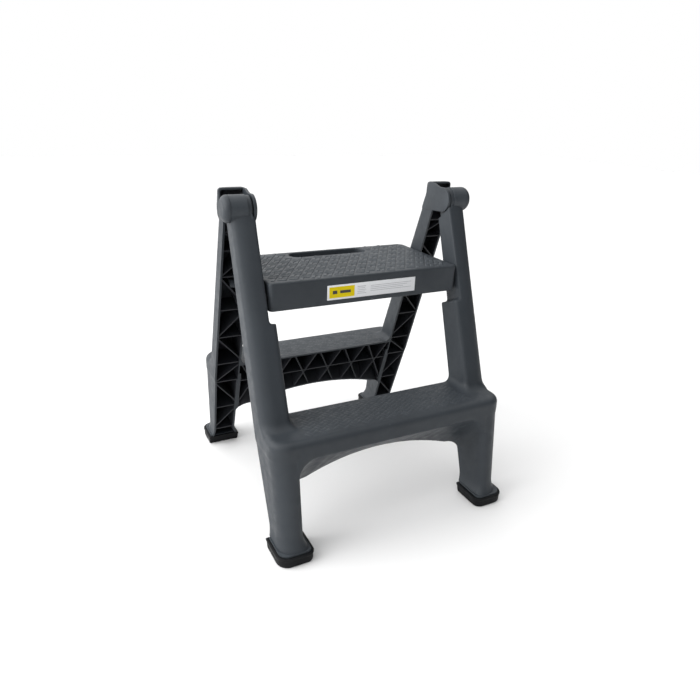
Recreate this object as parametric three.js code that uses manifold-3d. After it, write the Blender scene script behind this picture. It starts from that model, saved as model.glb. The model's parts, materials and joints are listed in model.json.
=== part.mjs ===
// Folding two-sided step stool: two moulded frames hinged at the top, with a top platform between them.
// Millimetres, +Z up, +X to the right, the front at -Y. The origin is on the floor under the centre.
import * as THREE from 'three';
import * as BufferGeometryUtils from 'three/addons/utils/BufferGeometryUtils.js';
import Module from 'manifold-3d';

const wasm = await Module();
wasm.setup();

// Driving dimensions of both frames
const WALL = 4;
const FIT_GAP = 0.3;
const RIB_THICKNESS = 2.6;
const OUTER_CORNER_STEPS = 6;
const INNER_CORNER_STEPS = 2;
const OUTER_X = 245;
const HINGE_Z = 589;
const HINGE_Y = -23;
const OPEN_EDGE_Y = 2;
const OPEN_EDGE_SLOPE = 0.342;
const RAIL_FACE_Y = 41.5;
const RAIL_FACE_SLOPE = 0.388;
const RAIL_TOP_Z = 586;
const RAIL_CORNER_X = 29;
const INNER_ROUND = 8;
const RAIL_FILLET = 10;
const TILT = Math.atan(OPEN_EDGE_SLOPE);

// Lower step and legs
const STEP_TOP_Z = 228;
const STEP_FACE_Y = 235;
const NOSE_Z = 194;
const STEP_CORNER = 32;
const STEP_EDGE = 9;
const LEG_FACE_SLOPE = 0.136;
const LEG_TAPER = 0.03;
const LEG_INNER_ROUND = 14;
const LEG_INNER_FRONT_X = 196;
const LEG_INNER_BACK_X = 190;
const ARCH_CROWN_Z = 133;
const ARCH_DROP = 25;
const ARCH_HALF_X = 160;
const ARCH_ROUND_Z = 24;
const NOSE_HALF_X = 162;
const NOSE_ROUND_Z = 34;

// Recess beside the platform
const LEDGE_BACK_Z = 386;
const LEDGE_SLOPE = 0.42;
const RECESS_BACK_X = 202;
const RECESS_FRONT_X = 205.5;
const RAIL_INNER_BACK_X = 187.5;
const RAIL_INNER_FRONT_X = 191;

// Boots
const BOOT_HEIGHT = 20;
const BOOT_WALL = 4;
const BOOT_INNER_X = 181;
const BOOT_OUTER_X = 249;
const BOOT_HEEL_Y = 192;
const BOOT_TOE_Y = 268;

// Hinge
const KNUCKLE_RADIUS = 24;
const KNUCKLE_START_X = 215.4;
const KNUCKLE_END_X = 246;
const COLLAR_RADIUS = 22.5;
const COLLAR_START_X = 208.5;
const CAP_END_X = 258;
const CAP_ROUND = 11;
const CAP_SPIGOT = 10;
const EAR_INNER_X = 200.3;
const EAR_OUTER_X = 205.3;
const SWING_GAP = 1.2;
const PIN_RADIUS = 6;
const HINGE_SIDES = 28;

// Housing at the top of each rear rail
const BRACKET_OUTER_X = 250;
const BRACKET_FRONT_Y = 17;
const BRACKET_BACK_Y = 34;
const BRACKET_TOP_Z = 619;
const BRACKET_FOOT_Z = 562;

// Platform
const PLATFORM_TOP_Z = 470;
const PLATFORM_SKIRT = 51.5;
const PLATFORM_RIB_DEPTH = 20;
const PLATFORM_HALF_X = 199;
const PLATFORM_FRONT_Y = -96;
const PLATFORM_REAR_Y = 119;
const PLATFORM_PIVOT = { y: -74, z: 440 };
const REST_PIN = { y: 70, z: 430 };
const SIDE_PIN_RADIUS = 5;
const SLOT_HALF_X = 87;
const SLOT_NEAR_Y = 72;
const SLOT_FAR_Y = 109;

const plastic = { color: 0x4b5359, roughness: 0.55, metalness: 0 };
const rubber = { color: 0x1d1e20, roughness: 0.85, metalness: 0 };
const steel = { color: 0xa8abad, roughness: 0.35, metalness: 0.9 };
const nylon = { color: 0x232528, roughness: 0.5, metalness: 0 };
const sticker = { color: 0xd9d7cf, roughness: 0.4, metalness: 0 };

// ---- Solids and meshes ----

function solidFrom(geometry) {
  const bare = geometry.index ? geometry.toNonIndexed() : geometry.clone();
  bare.deleteAttribute('normal');
  bare.deleteAttribute('uv');
  const merged = BufferGeometryUtils.mergeVertices(bare, 1e-4);
  const mesh = new wasm.Mesh({
    numProp: 3,
    vertProperties: new Float32Array(merged.attributes.position.array),
    triVerts: new Uint32Array(merged.index.array),
  });
  return new wasm.Manifold(mesh);
}

function geometryFrom(solid) {
  const { vertProperties, triVerts, numProp } = solid.getMesh();
  const positions = [];
  for (let i = 0; i < vertProperties.length; i += numProp) {
    positions.push(vertProperties[i], vertProperties[i + 1], vertProperties[i + 2]);
  }
  const geometry = new THREE.BufferGeometry();
  geometry.setAttribute('position', new THREE.Float32BufferAttribute(positions, 3));
  geometry.setIndex(Array.from(triVerts));
  return geometry;
}

function mirrored(geometry, axis) {
  const scale = new THREE.Vector3(1, 1, 1).setComponent(axis, -1);
  const copy = geometry.clone().scale(scale.x, scale.y, scale.z);
  const order = copy.index ? copy.index.array : [...Array(copy.attributes.position.count).keys()];
  const flipped = [];
  for (let i = 0; i < order.length; i += 3) flipped.push(order[i], order[i + 2], order[i + 1]);
  copy.setIndex(flipped);
  return copy;
}

function joined(solids) {
  return solids.reduce((whole, solid) => whole.add(solid));
}

// The solid of a geometry drawn on the right, and of its mirror image on the left
function pair(geometry) {
  return solidFrom(geometry).add(solidFrom(mirrored(geometry, 0)));
}

// A closed skin through rings of equal length, each ring convex and counter-clockwise seen from the far end
function loft(rings) {
  const count = rings[0].length;
  const positions = rings.flat().flatMap((point) => [point.x, point.y, point.z]);
  const index = [];
  for (let r = 0; r + 1 < rings.length; r += 1) {
    for (let i = 0; i < count; i += 1) {
      const a = r * count + i;
      const b = r * count + ((i + 1) % count);
      index.push(a, b, b + count, a, b + count, a + count);
    }
  }
  const last = (rings.length - 1) * count;
  for (let i = 1; i + 1 < count; i += 1) {
    index.push(0, i + 1, i);
    index.push(last, last + i, last + i + 1);
  }
  const geometry = new THREE.BufferGeometry();
  geometry.setAttribute('position', new THREE.Float32BufferAttribute(positions, 3));
  geometry.setIndex(index);
  return geometry;
}

// An outline in Y and Z, pushed out along X
function extrudeX(shape, fromX, toX) {
  const settings = { depth: toX - fromX, bevelEnabled: false, curveSegments: 10 };
  const basis = new THREE.Matrix4().makeBasis(
    new THREE.Vector3(0, 1, 0),
    new THREE.Vector3(0, 0, 1),
    new THREE.Vector3(1, 0, 0),
  );
  return new THREE.ExtrudeGeometry(shape, settings).applyMatrix4(basis).translate(fromX, 0, 0);
}

function polygon(points) {
  return new THREE.Shape(points.map(([u, v]) => new THREE.Vector2(u, v)));
}

function rodX(radius, fromX, toX, y, z, sides = 20) {
  return new THREE.CylinderGeometry(radius, radius, toX - fromX, sides)
    .rotateZ(-Math.PI / 2)
    .translate((fromX + toX) / 2, y, z);
}

function ringX(outer, inner, fromX, toX, y, z) {
  return solidFrom(rodX(outer, fromX, toX, y, z)).subtract(solidFrom(rodX(inner, fromX - 1, toX + 1, y, z)));
}

function boxBetween(x0, x1, y0, y1, z0, z1) {
  return new THREE.BoxGeometry(x1 - x0, y1 - y0, z1 - z0)
    .translate((x0 + x1) / 2, (y0 + y1) / 2, (z0 + z1) / 2);
}

// ---- Frame moulding, drawn with its outside towards +Y ----

function openEdgeY(z) {
  return OPEN_EDGE_Y + OPEN_EDGE_SLOPE * (HINGE_Z - z);
}

function railFaceY(z) {
  return RAIL_FACE_Y + RAIL_FACE_SLOPE * (HINGE_Z - z);
}

function legFaceY(z) {
  return STEP_FACE_Y + LEG_FACE_SLOPE * (NOSE_Z - z);
}

// Plan outline of one upright: flat open side, elliptical outer corner, small round inner corner
function uprightRing(z, plan) {
  const { faceY, backY, innerBackX, innerFrontX, outerX, cornerX, cornerY, innerRound, steps } = plan;
  const ring = [new THREE.Vector3(innerBackX, backY, z), new THREE.Vector3(outerX, backY, z)];
  for (let i = 0; i <= steps; i += 1) {
    const angle = (i / steps) * (Math.PI / 2);
    const x = outerX - cornerX * (1 - Math.cos(angle));
    const y = faceY - cornerY * (1 - Math.sin(angle));
    ring.push(new THREE.Vector3(x, y, z));
  }
  const roundSteps = steps > INNER_CORNER_STEPS ? 2 : 1;
  for (let i = 0; i <= roundSteps; i += 1) {
    const angle = (i / roundSteps) * (Math.PI / 2);
    const x = innerFrontX + innerRound * (1 - Math.sin(angle));
    const y = faceY - innerRound * (1 - Math.cos(angle));
    ring.push(new THREE.Vector3(x, y, z));
  }
  return ring;
}

function cornerSteps(inset) {
  return inset ? INNER_CORNER_STEPS : OUTER_CORNER_STEPS;
}

function railRing(z, inset, openBy, flare = 0) {
  return uprightRing(z, {
    faceY: railFaceY(z) - inset + flare,
    backY: openEdgeY(z) - openBy,
    innerBackX: RAIL_INNER_BACK_X + inset - flare,
    innerFrontX: RAIL_INNER_FRONT_X + inset - flare,
    outerX: OUTER_X - inset,
    cornerX: RAIL_CORNER_X - inset,
    cornerY: 12 + 0.03 * (HINGE_Z - z) - inset,
    innerRound: INNER_ROUND - 1.4 * inset,
    steps: cornerSteps(inset),
  });
}

// The foot of the leg flares out just above the boot
function legFlare(z) {
  const reach = 26;
  const rise = Math.max(0, 1 - (z - BOOT_HEIGHT) / reach);
  return rise * rise;
}

function legRing(z, inset, openBy) {
  const flare = legFlare(z);
  const taper = LEG_TAPER * Math.max(0, STEP_TOP_Z - z);
  return uprightRing(z, {
    faceY: legFaceY(z) + 5 * flare - inset,
    backY: openEdgeY(z) - openBy,
    innerBackX: LEG_INNER_BACK_X - 6 * flare + inset,
    innerFrontX: LEG_INNER_FRONT_X - 10 * flare + inset,
    outerX: OUTER_X - taper + 5 * flare - inset,
    cornerX: STEP_CORNER - inset,
    cornerY: STEP_CORNER - inset,
    innerRound: LEG_INNER_ROUND - 1.4 * inset,
    steps: cornerSteps(inset),
  });
}

// A rectangle in plan with its own radius at each corner, from far right round to near right
function roundedRing(z, [x0, x1], [y0, y1], radii) {
  const ring = [];
  const corners = [[x1, y1, -1, -1], [x0, y1, 1, -1], [x0, y0, 1, 1], [x1, y0, -1, 1]];
  corners.forEach(([x, y, inX, inY], quarter) => {
    const radius = radii[quarter];
    for (let i = 0; i <= 4; i += 1) {
      const angle = (quarter + i / 4) * (Math.PI / 2);
      const across = x + radius * (inX + Math.cos(angle));
      ring.push(new THREE.Vector3(across, y + radius * (inY + Math.sin(angle)), z));
    }
  });
  return ring;
}

function bootRing(z, inset) {
  const radii = [22, 15, 5, 5].map((radius) => Math.max(1, radius - inset));
  const across = [BOOT_INNER_X + inset, BOOT_OUTER_X - inset];
  return roundedRing(z, across, [BOOT_HEEL_Y + inset, BOOT_TOE_Y - inset], radii);
}

// The part of the leg inside the boot
function spigot(gap) {
  const inset = BOOT_WALL + gap;
  const plug = solidFrom(loft([bootRing(BOOT_WALL + gap, inset), bootRing(BOOT_HEIGHT + 3, inset)]));
  return plug.subtract(behindOpenPlane(inset));
}

// Everything behind the open plane, moved outwards by the given amount
function behindOpenPlane(shift) {
  const end = (x) => [
    new THREE.Vector3(x, openEdgeY(-20) + shift - 300, -20),
    new THREE.Vector3(x, openEdgeY(-20) + shift, -20),
    new THREE.Vector3(x, openEdgeY(700) + shift, 700),
    new THREE.Vector3(x, openEdgeY(700) + shift - 300, 700),
  ];
  return solidFrom(loft([end(-400), end(400)]));
}

function stepRing(z, inset, openBy) {
  const corner = STEP_CORNER - inset;
  const right = uprightRing(z, {
    faceY: STEP_FACE_Y - inset,
    backY: openEdgeY(z) - openBy,
    innerBackX: 0,
    innerFrontX: 0,
    outerX: OUTER_X - inset,
    cornerX: corner,
    cornerY: corner,
    innerRound: 0,
    steps: cornerSteps(openBy),
  });
  const innerCornerPoints = openBy ? 2 : 3;
  const half = right.slice(1, -innerCornerPoints);
  const left = half.map((point) => new THREE.Vector3(-point.x, point.y, point.z)).reverse();
  return [...half, ...left];
}

function stepBody() {
  const rings = [stepRing(NOSE_Z, 0, 0)];
  const rounds = 3;
  for (let i = 0; i <= rounds; i += 1) {
    const angle = (i / rounds) * (Math.PI / 2);
    const inset = STEP_EDGE * (1 - Math.cos(angle));
    const ring = stepRing(STEP_TOP_Z - STEP_EDGE * (1 - Math.sin(angle)), inset, 0);
    rings.push(ring);
  }
  return loft(rings);
}

// Drop of an elliptical corner that starts at one reach across X and is complete at another
function cornerDrop(x, start, end, depth) {
  const turn = Math.min(1, Math.max(0, (Math.abs(x) - start) / (end - start)));
  return depth * (1 - Math.sqrt(1 - turn * turn));
}

// Lower edge of the apron in the open plane: a shallow arch, rounded down into the legs
function archZ(x) {
  const bow = ARCH_DROP * Math.min(1, (x / ARCH_HALF_X) ** 2);
  return ARCH_CROWN_Z - bow - cornerDrop(x, ARCH_HALF_X, LEG_INNER_BACK_X, ARCH_ROUND_Z);
}

// Lower edge of the step's front face, straight, and rounded down into the legs
function noseZ(x) {
  return NOSE_Z - cornerDrop(x, NOSE_HALF_X, LEG_INNER_FRONT_X, NOSE_ROUND_Z);
}

// Sloping underside between the front face and the arch, as sections across X
function apronBody(inset, openBy, halfX) {
  const reaches = [0, 40, 80, 115, 145, 162, 175, 183, 188, 190, LEG_INNER_FRONT_X, halfX];
  const half = reaches.filter((x) => x <= halfX);
  const stations = [...half.slice(1).reverse().map((x) => -x), ...half];
  const top = STEP_TOP_Z - STEP_EDGE - inset;
  const rings = stations.map((x) => {
    const low = archZ(x) + inset;
    const nose = noseZ(x) + inset;
    return [
      new THREE.Vector3(x, openEdgeY(low) - openBy, low),
      new THREE.Vector3(x, STEP_FACE_Y + LEG_FACE_SLOPE * (NOSE_Z + inset - nose) - inset, nose),
      new THREE.Vector3(x, STEP_FACE_Y - inset, top),
      new THREE.Vector3(x, openEdgeY(top) - openBy, top),
    ];
  });
  return loft(rings);
}

// The rail is thinner beside the platform, above a ledge
function recessCutter(inset) {
  const ledgeZ = (y) => LEDGE_BACK_Z + LEDGE_SLOPE * (y - openEdgeY(LEDGE_BACK_Z)) - inset;
  const section = (y) => {
    const reach = (y - openEdgeY(440)) / (railFaceY(440) - openEdgeY(440));
    const x = RECESS_BACK_X + (RECESS_FRONT_X - RECESS_BACK_X) * Math.max(0, Math.min(1, reach)) + inset;
    return [
      new THREE.Vector3(150, y, ledgeZ(y)),
      new THREE.Vector3(150, y, 700),
      new THREE.Vector3(x, y, 700),
      new THREE.Vector3(x, y, ledgeZ(y)),
    ];
  };
  return loft([-60, 10, 150, 200].map(section));
}

// The rail spreads into the tread with a concave fillet
function railBody() {
  const rings = [railRing(NOSE_Z + 8, 0, 0, RAIL_FILLET)];
  for (let i = 0; i <= 3; i += 1) {
    const angle = (i / 3) * (Math.PI / 2);
    const flare = RAIL_FILLET * (1 - Math.sin(angle));
    rings.push(railRing(STEP_TOP_Z + RAIL_FILLET * (1 - Math.cos(angle)), 0, 0, flare));
  }
  rings.push(railRing(RAIL_TOP_Z, 0, 0));
  return loft(rings);
}

function uprightBodies() {
  const rail = railBody();
  const legLevels = [BOOT_HEIGHT + FIT_GAP, 25, 32, 46, NOSE_Z + 12];
  const leg = loft(legLevels.map((z) => legRing(z, 0, 0)));
  const plug = pair(geometryFrom(spigot(FIT_GAP)));
  return pair(rail).subtract(pair(recessCutter(0))).add(pair(leg)).add(plug);
}

// Everything hollow inside the moulding: rails, legs and step, open towards the other frame
function hollows(inset, openBy) {
  const rail = loft([railRing(STEP_TOP_Z - 40, inset, openBy), railRing(RAIL_TOP_Z - 3, inset, openBy)]);
  const legLevels = [12, 25, 32, 46, STEP_TOP_Z - inset];
  const leg = loft(legLevels.map((z) => legRing(z, inset, openBy)));
  const railHollow = pair(rail).subtract(pair(recessCutter(inset)));
  const legHollow = pair(leg);
  const apron = solidFrom(apronBody(inset, openBy, LEG_INNER_BACK_X));
  const stepTop = loft([stepRing(NOSE_Z, inset, openBy), stepRing(STEP_TOP_Z - inset, inset, openBy)]);
  const between = solidFrom(boxBetween(-LEG_INNER_BACK_X, LEG_INNER_BACK_X, -100, 400, 0, 400));
  return railHollow.add(legHollow).add(apron).add(solidFrom(stepTop).intersect(between));
}

// A rib square to the open plane, between two places given across X and down the plane from the hinge
function ribPlate(x1, down1, x2, down2) {
  const length = Math.hypot(x2 - x1, down2 - down1);
  return new THREE.BoxGeometry(length, 500, RIB_THICKNESS)
    .rotateY(Math.atan2(down2 - down1, x2 - x1))
    .translate((x1 + x2) / 2, 0, -(down1 + down2) / 2)
    .rotateX(TILT)
    .translate(0, OPEN_EDGE_Y, HINGE_Z);
}

function railRibs() {
  const innerX = RAIL_INNER_BACK_X - 4;
  const levels = [52, 92, 150, 230, 300, 374, 426, 506, 577];
  const plates = [];
  levels.forEach((down, i) => {
    plates.push(pair(ribPlate(innerX, down, OUTER_X, down)));
    if (i + 1 === levels.length) return;
    const start = i % 2 ? innerX : OUTER_X;
    const end = i % 2 ? OUTER_X : innerX;
    plates.push(pair(ribPlate(start, down, end, levels[i + 1])));
  });
  return joined(plates);
}

function stepRibs() {
  const top = (HINGE_Z - STEP_TOP_Z) / Math.cos(TILT) - 6;
  const bottom = (HINGE_Z - ARCH_CROWN_Z) / Math.cos(TILT) + 24;
  const bays = 6;
  const bay = (2 * LEG_INNER_BACK_X) / bays;
  const middle = (top + bottom) / 2 - 8;
  const plates = [solidFrom(ribPlate(-LEG_INNER_BACK_X, middle, LEG_INNER_BACK_X, middle))];
  for (let i = 0; i < bays; i += 1) {
    const left = -LEG_INNER_BACK_X + i * bay;
    plates.push(solidFrom(ribPlate(left, top, left + bay, bottom)));
    plates.push(solidFrom(ribPlate(left, bottom, left + bay, top)));
  }
  return joined(plates);
}

function mouldingShell() {
  const apron = apronBody(0, 0, LEG_INNER_FRONT_X + 6);
  const outside = uprightBodies().add(solidFrom(stepBody())).add(solidFrom(apron));
  const ribs = railRibs().add(stepRibs()).intersect(hollows(WALL - 1, -1.5));
  return outside.subtract(hollows(WALL, 20)).add(ribs);
}

// ---- Front frame ----

// Room inside the top of the front rail for the rear frame's ear, behind a wall of its own
function earPocket(shell) {
  const bottom = HINGE_Z - 52;
  const wallEnd = COLLAR_START_X + WALL;
  const lining = pair(boxBetween(COLLAR_START_X, wallEnd, -200, 200, bottom - WALL, HINGE_Z - 4));
  const rail = solidFrom(mirrored(geometryFrom(pair(railBody())), 1));
  const pocket = pair(boxBetween(EAR_INNER_X - 60, COLLAR_START_X, -200, 200, bottom, HINGE_Z + 60));
  return shell.add(lining.intersect(rail)).subtract(pocket);
}

function frontFrame() {
  const shell = earPocket(solidFrom(mirrored(geometryFrom(mouldingShell()), 1)));
  const knuckle = pair(rodX(KNUCKLE_RADIUS, KNUCKLE_START_X, KNUCKLE_END_X, HINGE_Y, HINGE_Z, HINGE_SIDES));
  const collarEnd = KNUCKLE_START_X + 1;
  const collar = pair(rodX(COLLAR_RADIUS, COLLAR_START_X, collarEnd, HINGE_Y, HINGE_Z, HINGE_SIDES));
  const pinHole = pair(rodX(PIN_RADIUS + FIT_GAP, COLLAR_START_X - 1, KNUCKLE_END_X + 1, HINGE_Y, HINGE_Z));
  const capSocket = pair(rodX(CAP_SPIGOT, KNUCKLE_END_X - 6, KNUCKLE_END_X + 1, HINGE_Y, HINGE_Z));
  return shell.add(knuckle).add(collar).add(sideBoss(PLATFORM_PIVOT))
    .subtract(pinHole).subtract(capSocket).subtract(sidePinHole(PLATFORM_PIVOT));
}

// Boss and hole for a pin in the thin wall beside the platform
function sideBoss(place) {
  return pair(rodX(SIDE_PIN_RADIUS * 2, RECESS_BACK_X + 3, RECESS_BACK_X + 22, place.y, place.z));
}

function sidePinHole(place) {
  return pair(rodX(SIDE_PIN_RADIUS + FIT_GAP, RECESS_BACK_X - 5, RECESS_BACK_X + 20, place.y, place.z));
}

// ---- Rear frame ----

// Arm from the hinge disc back to the rail, its top edge sloping down to the disc
function earArm() {
  const outline = polygon([
    [HINGE_Y, HINGE_Z - KNUCKLE_RADIUS], [OPEN_EDGE_Y + 9, HINGE_Z - KNUCKLE_RADIUS - 2],
    [BRACKET_BACK_Y + 3, HINGE_Z - 26], [BRACKET_BACK_Y - 2, BRACKET_TOP_Z - 2],
    [BRACKET_FRONT_Y - 8, BRACKET_TOP_Z - 1], [HINGE_Y + 14, HINGE_Z + 23.6], [HINGE_Y + 4, HINGE_Z + 23.6],
  ]);
  return extrudeX(outline, EAR_INNER_X, EAR_OUTER_X);
}

function ear() {
  const disc = pair(rodX(KNUCKLE_RADIUS, EAR_INNER_X, EAR_OUTER_X, HINGE_Y, HINGE_Z, HINGE_SIDES));
  return disc.add(pair(earArm()));
}

// Housing behind the knuckle in plan. It leans with the rail and then stands up, while its outer side
// swells out of the rail: turned goes from 0 at its foot to 1 where the swelling ends.
function bracketRing(z, turned, outerX, inset) {
  return uprightRing(z, {
    faceY: Math.max(BRACKET_BACK_Y, railFaceY(z) - 0.5) - inset,
    backY: BRACKET_FRONT_Y - 8 * inset,
    innerBackX: RECESS_BACK_X + inset,
    innerFrontX: RECESS_BACK_X + inset,
    outerX: outerX - inset,
    cornerX: RAIL_CORNER_X - 15 * turned,
    cornerY: 12 - 2 * turned,
    innerRound: 0.5,
    steps: INNER_CORNER_STEPS,
  });
}

function bracket(inset) {
  const swellHeight = 26;
  const swell = 6;
  const rings = [];
  for (let i = 0; i <= 3; i += 1) {
    const angle = (i / 3) * (Math.PI / 2);
    const z = BRACKET_FOOT_Z + swellHeight * (1 - Math.cos(angle));
    rings.push(bracketRing(z, i / 3, BRACKET_OUTER_X - swell * (1 - Math.sin(angle)), inset));
  }
  const standsUpZ = HINGE_Z + (RAIL_FACE_Y - BRACKET_BACK_Y) / RAIL_FACE_SLOPE;
  rings.push(bracketRing(standsUpZ, 1, BRACKET_OUTER_X, inset));
  rings.push(bracketRing(BRACKET_TOP_Z - 2 - inset, 1, BRACKET_OUTER_X, inset));
  rings.push(bracketRing(BRACKET_TOP_Z - inset, 1, BRACKET_OUTER_X - 2, inset));
  return pair(loft(rings));
}

function rearFrame() {
  const knuckleRoom = pair(
    rodX(KNUCKLE_RADIUS + SWING_GAP, EAR_OUTER_X, CAP_END_X + 4, HINGE_Y, HINGE_Z, HINGE_SIDES),
  );
  const pinHole = pair(rodX(PIN_RADIUS + FIT_GAP, EAR_INNER_X + 2, EAR_OUTER_X + 1, HINGE_Y, HINGE_Z));
  return mouldingShell().add(bracket(0)).subtract(bracket(WALL - 0.5)).add(ear()).subtract(knuckleRoom)
    .add(sideBoss(REST_PIN)).subtract(pinHole).subtract(sidePinHole(REST_PIN));
}

// ---- Platform ----

// Rounded plan outline of the platform, inset all round
function platformRing(z, inset) {
  const radii = [16, 16, 7, 7].map((radius) => Math.max(1, radius - inset));
  const across = [-PLATFORM_HALF_X + inset, PLATFORM_HALF_X - inset];
  return roundedRing(z, across, [PLATFORM_FRONT_Y + inset, PLATFORM_REAR_Y - inset], radii);
}

function slotOutline(grow) {
  const radius = (SLOT_FAR_Y - SLOT_NEAR_Y) / 2 + grow;
  const centreY = (SLOT_FAR_Y + SLOT_NEAR_Y) / 2;
  const reach = SLOT_HALF_X - (SLOT_FAR_Y - SLOT_NEAR_Y) / 2;
  const shape = new THREE.Shape();
  shape.absarc(reach, centreY, radius, -Math.PI / 2, Math.PI / 2, false);
  shape.absarc(-reach, centreY, radius, Math.PI / 2, (3 * Math.PI) / 2, false);
  return shape;
}

function extrudeZ(shape, fromZ, toZ) {
  return new THREE.ExtrudeGeometry(shape, { depth: toZ - fromZ, bevelEnabled: false, curveSegments: 12 })
    .translate(0, 0, fromZ);
}

// Notch, open downwards, that drops over the rest pin and lets it leave forwards and down
function restNotch() {
  const radius = SIDE_PIN_RADIUS + FIT_GAP;
  const shape = new THREE.Shape();
  shape.absarc(REST_PIN.y, REST_PIN.z, radius, 0, Math.PI, false);
  shape.lineTo(REST_PIN.y - 24, REST_PIN.z - 24);
  shape.lineTo(REST_PIN.y + radius, REST_PIN.z - 24);
  return extrudeX(shape, PLATFORM_HALF_X - 14, PLATFORM_HALF_X + 2);
}

// A grid of shallow ribs under the tread, in front of the slot
function platformRibs() {
  const half = RIB_THICKNESS / 2;
  const low = PLATFORM_TOP_Z - PLATFORM_RIB_DEPTH;
  const high = PLATFORM_TOP_Z - 2;
  const plates = [];
  for (const x of [-100, 0, 100]) {
    plates.push(solidFrom(boxBetween(x - half, x + half, PLATFORM_FRONT_Y, SLOT_NEAR_Y, low, high)));
  }
  const middle = (PLATFORM_FRONT_Y + SLOT_NEAR_Y) / 2;
  const across = boxBetween(-PLATFORM_HALF_X, PLATFORM_HALF_X, middle - half, middle + half, low, high);
  plates.push(solidFrom(across));
  return joined(plates);
}

function platform() {
  const bottom = PLATFORM_TOP_Z - PLATFORM_SKIRT;
  const edge = 4;
  const outside = loft([
    platformRing(bottom, 0), platformRing(PLATFORM_TOP_Z - edge, 0), platformRing(PLATFORM_TOP_Z - 1.2, 1.2),
    platformRing(PLATFORM_TOP_Z, edge),
  ]);
  const hollow = solidFrom(loft([platformRing(bottom - 1, WALL), platformRing(PLATFORM_TOP_Z - WALL, WALL)]));
  const slotWall = solidFrom(extrudeZ(slotOutline(3), bottom + 12, PLATFORM_TOP_Z - 1));
  const slot = solidFrom(extrudeZ(slotOutline(0), bottom - 5, PLATFORM_TOP_Z + 5));
  const pivot = PLATFORM_PIVOT;
  const holeRadius = SIDE_PIN_RADIUS + FIT_GAP;
  const pivotBoss = pair(rodX(11, PLATFORM_HALF_X - 16, PLATFORM_HALF_X - 1, pivot.y, pivot.z));
  const pivotHole = pair(rodX(holeRadius, PLATFORM_HALF_X - 14, PLATFORM_HALF_X + 1, pivot.y, pivot.z));
  const notchPad = pair(boxBetween(
    PLATFORM_HALF_X - 12, PLATFORM_HALF_X - 1, REST_PIN.y - 14, REST_PIN.y + 14, bottom, PLATFORM_TOP_Z - 2,
  ));
  const shell = solidFrom(outside).subtract(hollow.subtract(platformRibs()));
  return shell.add(slotWall).add(pivotBoss).add(notchPad)
    .subtract(slot).subtract(pivotHole).subtract(pair(restNotch()));
}

// ---- Small parts, drawn on the right ----

function boot() {
  const outside = solidFrom(loft([
    bootRing(0, 2), bootRing(2.5, 0), bootRing(BOOT_HEIGHT - 2, 0), bootRing(BOOT_HEIGHT, 1.2),
  ]));
  return geometryFrom(outside.subtract(spigot(0)).subtract(behindOpenPlane(-0.5)));
}

function hingePin() {
  return rodX(PIN_RADIUS, EAR_INNER_X + 2 + FIT_GAP, KNUCKLE_END_X - 6 - FIT_GAP, HINGE_Y, HINGE_Z);
}

function hingeCap() {
  const spigotRadius = CAP_SPIGOT - FIT_GAP;
  const depth = 6 - FIT_GAP;
  const plug = [[0, -depth], [spigotRadius, -depth], [spigotRadius, FIT_GAP], [KNUCKLE_RADIUS, FIT_GAP]];
  const points = plug.map(([radius, along]) => new THREE.Vector2(radius, along));
  const length = CAP_END_X - KNUCKLE_END_X;
  for (let i = 0; i <= 4; i += 1) {
    const angle = (i / 4) * (Math.PI / 2);
    const radius = KNUCKLE_RADIUS - CAP_ROUND * (1 - Math.cos(angle));
    points.push(new THREE.Vector2(radius, length - CAP_ROUND * (1 - Math.sin(angle))));
  }
  points.push(new THREE.Vector2(0, length));
  return new THREE.LatheGeometry(points, HINGE_SIDES)
    .rotateZ(-Math.PI / 2)
    .translate(KNUCKLE_END_X, HINGE_Y, HINGE_Z);
}

function hingeWasher() {
  const hole = PIN_RADIUS + FIT_GAP;
  return geometryFrom(ringX(16, hole, EAR_OUTER_X + FIT_GAP, COLLAR_START_X - FIT_GAP, HINGE_Y, HINGE_Z));
}

function sidePin(place) {
  return rodX(SIDE_PIN_RADIUS, PLATFORM_HALF_X - 12, RECESS_BACK_X + 19.5, place.y, place.z);
}

function platformSpacer() {
  const from = PLATFORM_HALF_X + FIT_GAP;
  return geometryFrom(
    ringX(9, SIDE_PIN_RADIUS + FIT_GAP, from, RECESS_BACK_X + 1, PLATFORM_PIVOT.y, PLATFORM_PIVOT.z),
  );
}

function label() {
  const y = PLATFORM_FRONT_Y - 0.5;
  return boxBetween(-88, 101, y - 0.4, y + 0.2, PLATFORM_TOP_Z - 42, PLATFORM_TOP_Z - 14);
}

// ---- Assembly ----

const stool = new THREE.Group();

function addPiece(name, geometry, look) {
  const mesh = new THREE.Mesh(geometry, new THREE.MeshStandardMaterial(look));
  mesh.name = name;
  stool.add(mesh);
}

function addPair(name, geometry, look) {
  addPiece(`${name}_right`, geometry, look);
  addPiece(`${name}_left`, mirrored(geometry, 0), look);
}

addPiece('front_frame', geometryFrom(frontFrame()), plastic);
addPiece('rear_frame', geometryFrom(rearFrame()), plastic);
addPiece('top_platform', geometryFrom(platform()), plastic);
addPair('rear_boot', boot(), rubber);
addPair('front_boot', mirrored(boot(), 1), rubber);
addPair('hinge_pin', hingePin(), steel);
addPair('hinge_cap', hingeCap(), plastic);
addPair('hinge_washer', hingeWasher(), nylon);
addPair('platform_pin', sidePin(PLATFORM_PIVOT), steel);
addPair('platform_spacer', platformSpacer(), nylon);
addPair('rest_pin', sidePin(REST_PIN), steel);
addPiece('skirt_label', label(), sticker);

export default stool;
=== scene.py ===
import json
import math

import bmesh
import bpy
from mathutils import Matrix, Vector


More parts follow.
